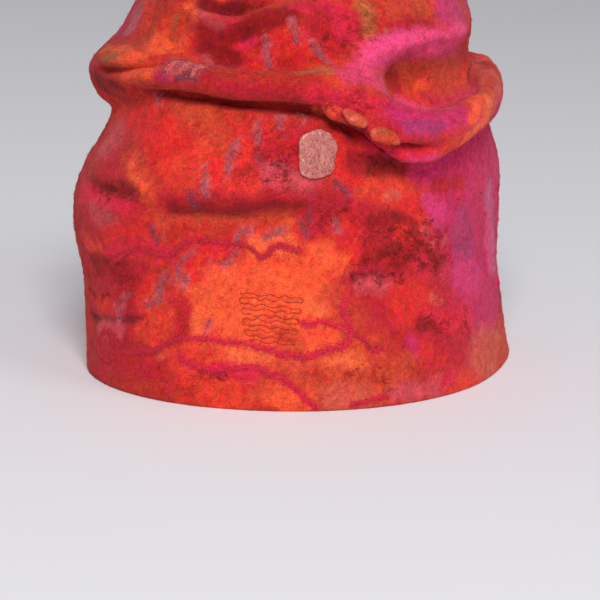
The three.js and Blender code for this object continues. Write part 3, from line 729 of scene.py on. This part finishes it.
def makeMottle():
    group = bpy.data.node_groups.new("woolMottle", "ShaderNodeTree")
    for name, kind, value in (("Wool", "NodeSocketColor", None), ("Mottle", "NodeSocketFloat", 0.5),
                              ("Depth", "NodeSocketFloat", 0.4)):
        socket = group.interface.new_socket(name=name, in_out="INPUT", socket_type=kind)
        if value is not None:
            socket.default_value = value
    group.interface.new_socket(name="Colour", in_out="OUTPUT", socket_type="NodeSocketColor")
    group.interface.new_socket(name="Normal", in_out="OUTPUT", socket_type="NodeSocketVector")
    nodes = group.nodes
    entry = nodes.new("NodeGroupInput")
    result = nodes.new("NodeGroupOutput")
    where = nodes.new("ShaderNodeTexCoord")

    def speckle(scale, detail, distortion):
        texture = nodes.new("ShaderNodeTexNoise")
        texture.inputs["Scale"].default_value = scale
        texture.inputs["Detail"].default_value = detail
        texture.inputs["Distortion"].default_value = distortion
        link(group, where.outputs["Object"], texture.inputs["Vector"])
        return texture.outputs["Fac"]

    def ranged(value, low, high, newLow, newHigh):
        span = nodes.new("ShaderNodeMapRange")
        span.inputs["From Min"].default_value = low
        span.inputs["From Max"].default_value = high
        span.inputs["To Min"].default_value = newLow
        span.inputs["To Max"].default_value = newHigh
        link(group, value, span.inputs["Value"])
        return span.outputs["Result"]

    def times(one, two, kind="MULTIPLY"):
        step = nodes.new("ShaderNodeMath")
        step.operation = kind
        for slot, value in enumerate((one, two)):
            if isinstance(value, float):
                step.inputs[slot].default_value = value
            else:
                link(group, value, step.inputs[slot])
        return step.outputs["Value"]

    blots = speckle(330.0, 3.0, 0.8)
    tufts = speckle(900.0, 3.0, 1.6)
    fibres = speckle(2600.0, 2.0, 2.5)
    shade = times(ranged(blots, 0.3, 0.7, -0.09, 0.09), ranged(tufts, 0.3, 0.7, -0.26, 0.26), "ADD")
    shade = times(shade, ranged(fibres, 0.3, 0.7, -0.24, 0.24), "ADD")
    shade = times(times(shade, entry.outputs["Mottle"]), 1.0, "ADD")
    turned = nodes.new("ShaderNodeHueSaturation")
    link(group, ranged(speckle(210.0, 4.0, 1.2), 0.25, 0.75, 0.494, 0.506), turned.inputs["Hue"])
    link(group, shade, turned.inputs["Value"])
    link(group, entry.outputs["Wool"], turned.inputs["Color"])
    link(group, turned.outputs["Color"], result.inputs["Colour"])
    height = times(times(blots, 0.5), times(tufts, 0.4), "ADD")
    height = times(height, times(fibres, 0.22), "ADD")
    relief = nodes.new("ShaderNodeBump")
    relief.inputs["Distance"].default_value = 0.0012
    link(group, entry.outputs["Depth"], relief.inputs["Strength"])
    link(group, height, relief.inputs["Height"])
    link(group, relief.outputs["Normal"], result.inputs["Normal"])
    return group


woolFinishes = {
    "feltWool": {"mottle": 1.3, "depth": 0.6, "sheen": 0.12, "tint": (1.0, 0.60, 0.52), "roughness": 0.92},
    "fuzzWool": {"mottle": 0.3, "depth": 0.05, "sheen": 0.14, "tint": (1.0, 0.62, 0.55), "roughness": 0.85},
    "paleWool": {"mottle": 0.8, "depth": 0.6, "sheen": 0.30, "tint": (1.0, 0.9, 0.88), "roughness": 0.92},
    "stitchThread": {"mottle": 0.4, "depth": 0.2, "sheen": 0.05, "tint": (1.0, 0.8, 0.7), "roughness": 0.7},
}


def makeWool(name, group):
    finish = woolFinishes[name]
    wool = bpy.data.materials.new(name)
    wool.use_nodes = True
    nodes = wool.node_tree.nodes
    shader = nodes["Principled BSDF"]
    tone = nodes.new("ShaderNodeAttribute")
    tone.attribute_name = "wool"
    mottle = nodes.new("ShaderNodeGroup")
    mottle.node_tree = group
    mottle.inputs["Mottle"].default_value = finish["mottle"]
    mottle.inputs["Depth"].default_value = finish["depth"]
    link(wool.node_tree, tone.outputs["Color"], mottle.inputs["Wool"])
    link(wool.node_tree, mottle.outputs["Colour"], shader.inputs["Base Color"])
    link(wool.node_tree, mottle.outputs["Normal"], shader.inputs["Normal"])
    shader.inputs["Roughness"].default_value = finish["roughness"]
    shader.inputs["Specular IOR Level"].default_value = 0.12
    shader.inputs["Sheen Weight"].default_value = finish["sheen"]
    shader.inputs["Sheen Roughness"].default_value = 0.5
    shader.inputs["Sheen Tint"].default_value = (*finish["tint"], 1)
    return wool


# Loose fibres on the wool: thin spindles that lie on the surface, each coloured from the felt near it, painted shade
# included
fuzzSettings = {"strands": 36500, "perPiece": 15500, "length": (2.2, 5.5), "width": (0.045, 0.075), "lift": (0.03, 0.32),
                "curl": 0.5, "standing": 0.09, "standingLift": (0.6, 1.7), "accent": 0.02}


def meshFrom(name, places, faces, colours, material):
    mesh = bpy.data.meshes.new(name)
    mesh.from_pydata(places.tolist(), [], faces.tolist())
    mesh.update()
    keepColours(mesh, colours)
    mesh.materials.append(material)
    piece = bpy.data.objects.new(name, mesh)
    bpy.context.scene.collection.objects.link(piece)
    for face in mesh.polygons:
        face.use_smooth = True
    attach(piece, "root")
    return piece


def spindles(routes, widths):        # routes: one row of four places for each strand
    along = np.gradient(routes, axis=1)
    side = np.cross(along, np.array([0.31, 0.43, 0.85]))
    side /= np.linalg.norm(side, axis=2, keepdims=True) + 1e-12
    other = np.cross(along, side)
    other /= np.linalg.norm(other, axis=2, keepdims=True) + 1e-12
    spots = [routes[:, 0]]
    for ring in (1, 2):
        for turn in (0, 2 * math.pi / 3, 4 * math.pi / 3):
            away = math.cos(turn) * side[:, ring] + math.sin(turn) * other[:, ring]
            spots.append(routes[:, ring] + away * widths[:, None])
    spots.append(routes[:, 3])
    places = np.stack(spots, 1)
    pattern = [(0, 2, 1), (0, 3, 2), (0, 1, 3), (7, 4, 5), (7, 5, 6), (7, 6, 4)]
    for corner in range(3):
        following = (corner + 1) % 3
        pattern.append((1 + corner, 1 + following, 4 + corner))
        pattern.append((1 + following, 4 + following, 4 + corner))
    faces = np.array(pattern)[None, :, :] + 8 * np.arange(len(routes))[:, None, None]
    return places.reshape(-1, 3), faces.reshape(-1, 3)


def layStrand(tree, start, heading, length, curl, lifts):
    place, normal, face, far = tree.find_nearest(start)
    if place is None:
        return None, None
    spots = []
    seen = []
    for step in range(4):
        spots.append(place + normal * lifts[step])
        seen.append(face)
        heading = heading - normal * heading.dot(normal)
        if heading.length < 1e-9:
            heading = normal.orthogonal()
        heading = heading.normalized() + normal.cross(heading.normalized()) * curl[step]
        heading.normalize()
        place, normal, face, far = tree.find_nearest(place + heading * (length / 3))
    return spots, seen


def combed(place):        # the way the fibres lie changes slowly over the felt
    return noise.noise_vector(place / (16 * mm)) + 0.35 * noise.noise_vector(place / (5 * mm))


def fuzzOver(felt, tree, colours, count, materials):
    mesh = felt.data
    areas = np.empty(len(mesh.polygons))
    mesh.polygons.foreach_get("area", areas)
    middles = np.empty(len(mesh.polygons) * 3)
    mesh.polygons.foreach_get("center", middles)
    middles = middles.reshape(-1, 3)
    corner = [face.vertices[0] for face in mesh.polygons]
    settings = fuzzSettings
    chosen = dice.choice(len(areas), count, p=areas / areas.sum())
    accents = [linearTone(name) for name in ("orange", "cherry", "magenta", "tangerine", "blood", "mauve", "scarlet")]
    routes = []
    widths = []
    tints = []
    for index in chosen:
        start = Vector(middles[index] + dice.uniform(-0.8, 0.8, 3) * mm)
        length = dice.uniform(*settings["length"]) * mm
        heading = combed(start) * 0.7 + Vector(dice.normal(0, 0.45, 3))
        if dice.random() < 0.5:
            heading = -heading
        low = dice.uniform(*settings["lift"]) * mm
        lifts = [0.0, low, low, 0.0]
        if dice.random() < settings["standing"]:
            lifts[3] = dice.uniform(*settings["standingLift"]) * mm
            lifts[2] = lifts[3] * 0.5
        curl = dice.normal(0, settings["curl"], 4)
        spots, seen = layStrand(tree, start, heading, length, curl, lifts)
        if spots is None:
            continue
        tint = colours[corner[seen[int(dice.integers(0, 4))]]]
        if dice.random() < settings["accent"]:
            tint = 0.5 * tint + 0.5 * accents[int(dice.integers(0, len(accents)))]
        tint = tint * dice.uniform(0.74, 1.26) + dice.uniform(0, 0.012)
        routes.append([list(spot) for spot in spots])
        widths.append(dice.uniform(*settings["width"]) * mm)
        tints.append(tint)
    routes = np.array(routes)
    routes[:, :, 2] = np.maximum(routes[:, :, 2], 0.12 * mm)
    saveStrands("felt_fibres", routes, np.array(widths), np.array(tints), materials["fuzzWool"])


def saveStrands(name, routes, widths, tints, material):
    most = fuzzSettings["perPiece"]
    for part, begin in enumerate(range(0, len(routes), most)):
        end = begin + most
        places, faces = spindles(routes[begin:end], widths[begin:end])
        colours = np.repeat(tints[begin:end], 8, axis=0)
        label = name if len(routes) <= most else name + "_" + str(part + 1)
        meshFrom(label, places, faces, np.clip(colours, 0.002, 1), material)


def bundleAlong(tree, route, tone, halfWidth, perMm, length, spread=0.25, light=0.0, bend=0.6):
    routes = []
    widths = []
    tints = []
    total = np.linalg.norm(np.diff(route, axis=0), axis=1).sum() / mm
    count = max(8, int(total * perMm))
    for _ in range(count):
        at = dice.uniform(0, len(route) - 1)
        index = min(int(at), len(route) - 2)
        start = Vector(route[index] + (route[index + 1] - route[index]) * (at - index))
        ahead = min(index + 4, len(route) - 1)
        behind = max(index - 4, 0)
        heading = Vector(route[ahead] - route[behind]).normalized() + Vector(dice.normal(0, spread, 3))
        if dice.random() < 0.5:
            heading = -heading
        place, normal, face, far = tree.find_nearest(start)
        sideways = normal.cross(heading).normalized() * dice.normal(0, halfWidth * 0.5) * mm
        high = abs(dice.normal(0, 0.2)) * mm + 0.1 * mm
        reach = dice.uniform(*length) * mm
        back = heading.normalized() * reach * 0.5
        curl = dice.normal(0, bend, 4)
        lifts = [0.0, high, high, 0.0]
        spots, seen = layStrand(tree, start + sideways - back, heading, reach, curl, lifts)
        if spots is None:
            continue
        routes.append([list(spot) for spot in spots])
        widths.append(dice.uniform(0.06, 0.1) * mm)
        tints.append(tone * dice.uniform(0.84, 1.2) + light * dice.random())
    return routes, widths, tints


def tubeAlong(route, normals, radii, sides, firstVertex):
    along = np.gradient(route, axis=0)
    along /= np.linalg.norm(along, axis=1, keepdims=True) + 1e-12
    across = np.cross(along, normals)
    across /= np.linalg.norm(across, axis=1, keepdims=True) + 1e-12
    up = np.cross(across, along)
    places = []
    for turn in np.arange(sides) * 2 * math.pi / sides:
        places.append(route + (math.cos(turn) * across + math.sin(turn) * up) * radii[:, None])
    places = np.stack(places, 1).reshape(-1, 3)
    faces = []
    for ring in range(len(route) - 1):
        for side in range(sides):
            one = firstVertex + ring * sides + side
            two = firstVertex + ring * sides + (side + 1) % sides
            faces.append((one, two, two + sides))
            faces.append((one, two + sides, one + sides))
    first = firstVertex + len(places)
    last = first + 1
    places = np.vstack([places, route[0], route[-1]])
    lastRing = firstVertex + (len(route) - 1) * sides
    for side in range(sides):
        following = (side + 1) % sides
        faces.append((first, firstVertex + following, firstVertex + side))
        faces.append((last, lastRing + side, lastRing + following))
    return places, faces


def evenly(route, step):
    lengths = np.concatenate([[0], np.cumsum(np.linalg.norm(np.diff(route, axis=0), axis=1))])
    marks = np.arange(0, lengths[-1], step)
    return np.stack([np.interp(marks, lengths, route[:, axis]) for axis in range(3)], 1)


def surfaceNormals(tree, route):
    return np.array([tree.find_nearest(Vector(place))[1] for place in route])


def makeYarns(tree, materials):
    strands = ([], [], [])
    cores = []
    faces = []
    coreColours = []
    count = 0
    for group, look in ((yarns, lookUnder), (hiddenYarns, lookRound)):
        for tone, halfWidth, spots in group:
            route = routeOn(tree, spots, look)
            if len(route) < 4:
                continue
            colour = linearTone(tone)
            for store, more in zip(strands, bundleAlong(tree, route, colour, halfWidth, 15, (1.4, 3.4), 0.7, 0.02, 0.9)):
                store.extend(more)
            core = evenly(route, 0.9 * mm)
            normals = surfaceNormals(tree, core)
            wobble = 0.35 * mm * drift(core, 2.2 * mm, 12)
            core = core + wobble
            core = np.array([tree.find_nearest(Vector(place))[0] for place in core]) - normals * halfWidth * 0.14 * mm
            radii = halfWidth * 0.36 * mm * (1 + 0.6 * lumps(core, 1.8 * mm, 13))
            radii = radii * fade(np.minimum(np.arange(len(core)), np.arange(len(core))[::-1]) / 4 + 0.15)
            places, more = tubeAlong(core, normals, radii, 6, count)
            cores.append(places)
            faces.extend(more)
            count += len(places)
            shades = 0.82 + 0.5 * lumps(places, 1.3 * mm, 22)
            coreColours.append(colour[None, :] * shades[:, None])
    for group, look in ((mauveFlecks, lookUnder), (hiddenFlecks, lookRound)):
        for tone, spots in group:
            route = routeOn(tree, spots, look)
            if len(route) < 3:
                continue
            for store, more in zip(strands, bundleAlong(tree, route, linearTone(tone), 1.3, 6, (1.6, 3.6), 0.14, 0.03, 0.2)):
                store.extend(more)
    near = [(row, lookUnder, (2.5, 5.5)) for row in scribbles]
    hidden = [(row, lookRound, (1.2, 2.6)) for row in hiddenScribbles]
    for (names, middle, size, strokes), look, stride in near + hidden:
        for _ in range(strokes):
            spot = np.array(middle) + np.array(size) * np.clip(dice.normal(0, 0.5, 2), -1, 1)
            turn = dice.normal(0.1, 0.7)
            spots = [tuple(spot)]
            for _ in range(3):
                turn += dice.normal(0, 0.6)
                spot = spot + np.array([math.cos(turn), math.sin(turn)]) * dice.uniform(*stride)
                spots.append(tuple(spot))
            route = routeOn(tree, spots, look)
            if len(route) < 3 or np.linalg.norm(np.diff(route, axis=0), axis=1).max() > 4 * mm:
                continue
            tone = linearTone(names[int(dice.integers(0, len(names)))])
            for store, more in zip(strands, bundleAlong(tree, route, tone, 0.6, 1.8, (1.8, 4.0), 0.35, 0.0)):
                store.extend(more)
    for tone, halfWidth, spots in curls:
        route = routeOn(tree, spots, lookUnder)
        for store, more in zip(strands, bundleAlong(tree, route, linearTone(tone), halfWidth, 9, (1.2, 3.0), 0.25, 0.02, 0.7)):
            store.extend(more)
    meshFrom("yarn_cores", np.vstack(cores), np.array(faces), np.vstack(coreColours), materials["feltWool"])
    routes = np.array(strands[0])
    routes[:, :, 2] = np.maximum(routes[:, :, 2], 0.12 * mm)
    saveStrands("yarn_fibres", routes, np.array(strands[1]), np.array(strands[2]), materials["fuzzWool"])


# The stitched meander: wavy rows of running stitches that turn back at each end. Places are photo pixels.
meander = {"top": 293.0, "rows": 10, "pitch": 5.3, "pairing": 0.9, "left": 240.5, "right": 301.0, "leftStep": 0.9,
           "rightStep": -1.0, "slope": 5.4, "wave": 1.3, "waveLength": 17.0, "radius": 0.21, "groove": 0.75}
faintMeander = {**meander, "top": 261.0, "rows": 6, "left": 243.0, "right": 299.0, "leftStep": -0.6, "rightStep": 0.2,
                "slope": 3.0, "radius": 0.12, "groove": 0.45}


def meanderSpots(plan):
    spots = []
    for row in range(plan["rows"]):
        left = plan["left"] + plan["leftStep"] * row
        right = plan["right"] + plan["rightStep"] * row
        line = []
        for share in np.linspace(0, 1, 27):
            across = left + (right - left) * share
            turn = 2 * math.pi * across / plan["waveLength"] + row * 0.5 + 1.2 * math.sin(across * 0.11 + row * 2.1)
            tall = plan["top"] + plan["pitch"] * row + plan["slope"] * share - plan["pairing"] * (row % 2)
            tall += plan["wave"] * math.sin(turn) * min(1, 5 * share, 5 * (1 - share))
            line.append((across, tall))
        if row % 2:
            line.reverse()
        spots.extend(line)
        if row < plan["rows"] - 1:
            out = 1 if row % 2 == 0 else -1
            end = line[-1]
            spots.append((end[0] + 2.0 * out, end[1] + plan["pitch"] * 0.3))
            spots.append((end[0] + 2.0 * out, end[1] + plan["pitch"] * 0.7))
    return spots


def refineStitched(outside):
    mesh = outside.data
    tree = BVHTree.FromPolygons(placesOf(mesh).tolist(), [face.vertices[:] for face in mesh.polygons])
    routes = [routeOn(tree, meanderSpots(plan), lookUnder) for plan in (meander, faintMeander)]
    near, gap, along = nearness(placesOf(mesh), np.vstack(routes)[::3], 2.2 * mm)
    within = set(near[gap < 2.0 * mm].tolist())
    chosen = [all(vertex in within for vertex in face.vertices) for face in mesh.polygons]
    alone(outside)
    bpy.ops.object.mode_set(mode="EDIT")
    bpy.ops.mesh.select_mode(type="FACE")
    bpy.ops.mesh.select_all(action="DESELECT")
    bpy.ops.object.mode_set(mode="OBJECT")
    mesh.polygons.foreach_set("select", chosen)
    bpy.ops.object.mode_set(mode="EDIT")
    bpy.ops.mesh.subdivide(number_cuts=3, smoothness=0)
    bpy.ops.object.mode_set(mode="OBJECT")
    places = placesOf(outside.data)
    normals = normalsOf(outside.data)
    for route, plan in zip(routes, (meander, faintMeander)):
        near, gap, along = nearness(places, evenly(route, 0.4 * mm), 2.5 * mm)
        low = plan["groove"] * mm * (np.exp(-(gap / (0.55 * mm)) ** 2) - 0.35 * np.exp(-((gap - 1.3 * mm) / (0.5 * mm)) ** 2))
        places[near] -= normals[near] * low[:, None]
    setPlaces(outside.data, places)


def sewMeander(tree, materials):
    for name, plan, tone in (("meander_stitches", meander, "rust"), ("faint_stitches", faintMeander, "orange")):
        route = evenly(routeOn(tree, meanderSpots(plan), lookUnder), 0.33 * mm)
        normals = surfaceNormals(tree, route)
        twist = 1 + 0.16 * np.sin(np.arange(len(route)) * 1.3)
        low = route + normals * (0.05 * mm + 0.06 * mm * lumps(route, 1.6 * mm, 21))[:, None]
        places, faces = tubeAlong(low, normals, plan["radius"] * mm * twist, 6, 0)
        colour = linearTone(tone) * (0.62 if tone == "rust" else 0.95)
        colours = np.tile(colour, (len(places), 1)) * dice.uniform(0.85, 1.15, (len(places), 1))
        meshFrom(name, places, np.array(faces), colours, materials["stitchThread"])


# The pale patch and the two nubs: copies of their nodes, rounded, that follow the sculpted felt under them
def followFelt(piece, tree, moved):
    places = placesOf(piece.data)
    for index, place in enumerate(places):
        nearest = tree.find_n(place, 3)
        places[index] += moved[[found[1] for found in nearest]].mean(0)
    setPlaces(piece.data, places)


def finishPiece(piece, material, node):
    piece.data.materials.append(material)
    alone(piece)
    bpy.ops.object.shade_smooth()
    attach(piece, "root")
    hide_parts(node)


patchSettings = {"fibres": 1500, "length": (3.0, 8.0)}


def makePatch(felTree, moved, materials):
    patch = copyOfNode("pale_patch", "pale_patch_wool")
    rounded(patch, 3)
    followFelt(patch, felTree, moved)
    places = placesOf(patch.data)
    middle = places.mean(0)
    across = (places - middle) @ np.array(viewRight)
    tall = (places - middle) @ np.array(viewUp)
    angle = np.arctan2(tall, across)
    ragged = np.array([noise.noise(Vector((math.cos(a) * 2.2, math.sin(a) * 2.2, 5.1))) for a in angle])
    flat = np.hypot(across / np.abs(across).max(), tall / np.abs(tall).max()) + 1e-9
    sideways = np.abs(across / np.abs(across).max() / flat)
    upwards = np.abs(tall / np.abs(tall).max() / flat)
    squarer = (sideways ** 2.7 + upwards ** 2.7) ** (-1 / 2.7)
    reach = squarer * (1 + 0.08 * ragged)
    shift = across * (0.93 * reach - 1)
    rise = tall * (0.94 * reach - 1)
    places = places + shift[:, None] * np.array(viewRight) + rise[:, None] * np.array(viewUp)
    setPlaces(patch.data, places)
    normals = normalsOf(patch.data)
    places = places + normals * (0.35 * mm * lumps(places, 3.0 * mm, 14) + 0.2 * mm * lumps(places, 1.4 * mm, 15))[:, None]
    setPlaces(patch.data, places)
    low = pixelsOf(places)
    toCorner = fade(((low[:, 0] - 312) + (low[:, 1] - 158)) / 26)[:, None]
    colours = linearTone("pale") * (1 - 0.55 * toCorner) + linearTone("rose") * 0.55 * toCorner
    colours *= 1.1 + 0.15 * lumps(places, 2.2 * mm, 16)[:, None]
    keepColours(patch.data, np.clip(colours, 0, 1))
    finishPiece(patch, materials["paleWool"], "pale_patch")
    tree = BVHTree.FromPolygons(places.tolist(), [face.vertices[:] for face in patch.data.polygons])
    facing = np.flatnonzero(normals @ np.array(viewBack) > 0.2)
    shades = [linearTone("pale"), linearTone("pale") * 1.1, linearTone("blush"), linearTone("blush"), linearTone("rose"), linearTone("pale") * 0.8]
    routes = []
    widths = []
    tints = []
    for index in dice.choice(facing, patchSettings["fibres"]):
        heading = -viewUp + Vector(dice.normal(0, 0.45, 3))
        high = dice.uniform(0.05, 0.5) * mm
        lifts = [0.0, high, high, 0.0]
        curl = dice.normal(0, 0.9, 4)
        start = Vector(places[index]) + viewUp * 1.5 * mm
        spots, seen = layStrand(tree, start, heading, dice.uniform(*patchSettings["length"]) * mm, curl, lifts)
        routes.append([list(spot) for spot in spots])
        widths.append(dice.uniform(0.06, 0.11) * mm)
        tints.append(shades[int(dice.integers(0, len(shades)))] * dice.uniform(0.85, 1.15))
    saveStrands("patch_fibres", np.array(routes), np.array(widths), np.array(tints), materials["paleWool"])


def makeNubs(felTree, moved, materials):
    for node in ("nub_upper", "nub_lower"):
        nub = copyOfNode(node, node + "_wool")
        rounded(nub, 2)
        followFelt(nub, felTree, moved)
        places = placesOf(nub.data)
        normals = normalsOf(nub.data)
        places = places + normals * (0.2 * mm * lumps(places, 2.0 * mm, 17))[:, None]
        setPlaces(nub.data, places)
        spots = pixelsOf(places)
        outer = np.linalg.norm(places - places.mean(0), axis=1)
        rim = fade((outer / outer.max() - 0.45) / 0.5)[:, None]
        colours = linearTone("rust") * (1 - rim) + linearTone("coral") * rim
        if node == "nub_lower":
            dot = np.exp(-(((spots[:, 0] - 383) / 5) ** 2 + ((spots[:, 1] - 132) / 3) ** 2))[:, None]
            colours = colours * (1 - 0.75 * dot) + linearTone("olive") * 0.75 * dot
        else:
            glow = np.exp(-(((spots[:, 0] - 352) / 9) ** 2 + ((spots[:, 1] - 119) / 4) ** 2))[:, None]
            colours = colours * (1 - 0.6 * glow) + linearTone("blush") * 0.6 * glow
        colours *= 1 + 0.15 * lumps(places, 1.8 * mm, 18)[:, None]
        keepColours(nub.data, np.clip(colours, 0.002, 1))
        finishPiece(nub, materials["feltWool"], node)
        tree = BVHTree.FromPolygons(places.tolist(), [face.vertices[:] for face in nub.data.polygons])
        routes = []
        widths = []
        tints = []
        for index in dice.integers(0, len(places), 170):
            heading = viewRight - 0.4 * viewUp + Vector(dice.normal(0, 0.3, 3))
            high = dice.uniform(0.03, 0.3) * mm
            curl = dice.normal(0, 0.5, 4)
            start = Vector(places[index])
            laid, seen = layStrand(tree, start, heading, dice.uniform(2.0, 4.5) * mm, curl, [0, high, high, 0])
            routes.append([list(spot) for spot in laid])
            widths.append(dice.uniform(0.05, 0.09) * mm)
            tints.append(colours[index] * dice.uniform(0.85, 1.3))
        saveStrands(node + "_fibres", np.array(routes), np.array(widths), np.array(tints), materials["fuzzWool"])


# Make it all
makeCamera()
makeStage()
print("stage ready")
mottleGroup = makeMottle()
materials = {name: makeWool(name, mottleGroup) for name in woolFinishes}
outside, inside = splitFelt()
print("felt split into faces:", len(outside.data.polygons), len(inside.data.polygons))
feltTree, feltMoves = sculptFelt(outside, inside)
refineStitched(outside)
print("felt sculpted")
felt = closeRim(outside, inside)
surface = BVHTree.FromPolygons(placesOf(felt.data).tolist(), [face.vertices[:] for face in felt.data.polygons])
woolColours = paintFelt(felt, surface)
keepColours(felt.data, woolColours)
felt.data.materials.append(materials["feltWool"])
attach(felt, "root")
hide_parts("felt_body")
print("felt painted:", len(felt.data.vertices))
makePatch(feltTree, feltMoves, materials)
makeNubs(feltTree, feltMoves, materials)
print("patch and nubs ready")
makeYarns(surface, materials)
sewMeander(surface, materials)
print("yarn and stitches ready")
strandCount = fuzzSettings["strands"]
fuzzOver(felt, surface, woolColours, strandCount, materials)
print("fibres ready")
